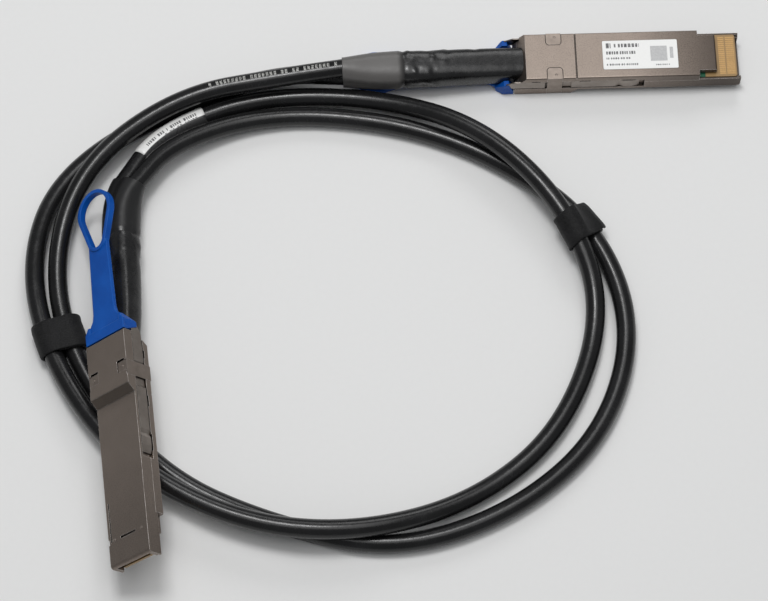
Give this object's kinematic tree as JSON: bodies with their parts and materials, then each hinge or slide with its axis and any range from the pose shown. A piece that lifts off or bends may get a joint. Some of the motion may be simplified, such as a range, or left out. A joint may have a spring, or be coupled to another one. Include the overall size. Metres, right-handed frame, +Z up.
{
  "type": "direct attach copper cable",
  "caption": "Coiled direct attach copper cable: metal plugs with blue pull tabs, joined by paired black cables held in hook-and-loop ties.",
  "frame": {"origin": "centre of plug A's backshell underside, the face that it rests on", "axes": "+X along plug A towards its nose, +Z up, away from the resting face, +Y to plug A's left"},
  "size_m": [0.2568, 0.1998, 0.0309],
  "materials": {
    "cast_nickel": "satin nickel-plated casting",
    "steel": "stamped sheet",
    "spring": "bright wire",
    "card": "green solder mask",
    "gold": "gold plated",
    "potting": "hot-melt potting",
    "clamp": "crimped",
    "blue_tab": "soft moulded",
    "sleeve": "shrunk sleeve",
    "jacket": "semi-gloss jacket",
    "hook_loop": "hook-and-loop tape",
    "paper_label": "satin label",
    "wrap_label": "wrap-round label"
  },
  "bodies": {
    "root": {"label_shell_a": "cast_nickel", "tab_shell_a": "cast_nickel", "circuit_board_a": "card", "contact_pads_a": "gold", "wire_block_a": "potting", "cable_clamp_a": "clamp", "return_spring_left_a": "spring", "return_spring_right_a": "spring", "side_clip_left_a": "steel", "side_clip_right_a": "steel", "boot_a": "sleeve", "label_shell_b": "cast_nickel", "tab_shell_b": "cast_nickel", "circuit_board_b": "card", "contact_pads_b": "gold", "wire_block_b": "potting", "cable_clamp_b": "clamp", "return_spring_left_b": "spring", "return_spring_right_b": "spring", "side_clip_left_b": "steel", "side_clip_right_b": "steel", "boot_b": "sleeve", "sticker_a": "paper_label", "cable_1": "jacket", "cable_2": "jacket", "tie_1": "hook_loop", "tie_2": "hook_loop", "cable_label": "wrap_label"},
    "release_a": {"latch_slider_a": "steel", "pull_tab_a": "blue_tab"},
    "release_b": {"latch_slider_b": "steel", "pull_tab_b": "blue_tab"}
  },
  "joints": [
    {"name": "release_a_slide", "type": "slide", "parent": "root", "child": "release_a", "axis": [-1, 0, 0], "range_m": [0, 0.0026], "stiffness_N_per_m": 1500, "springref_m": -0.002, "deforming": ["return_spring_left_a", "return_spring_right_a"]},
    {"name": "release_b_slide", "type": "slide", "parent": "root", "child": "release_b", "axis": [-0.0956, 0.9926, -0.075], "range_m": [0, 0.0026], "stiffness_N_per_m": 1500, "springref_m": -0.002, "deforming": ["return_spring_left_b", "return_spring_right_b"]}
  ]
}
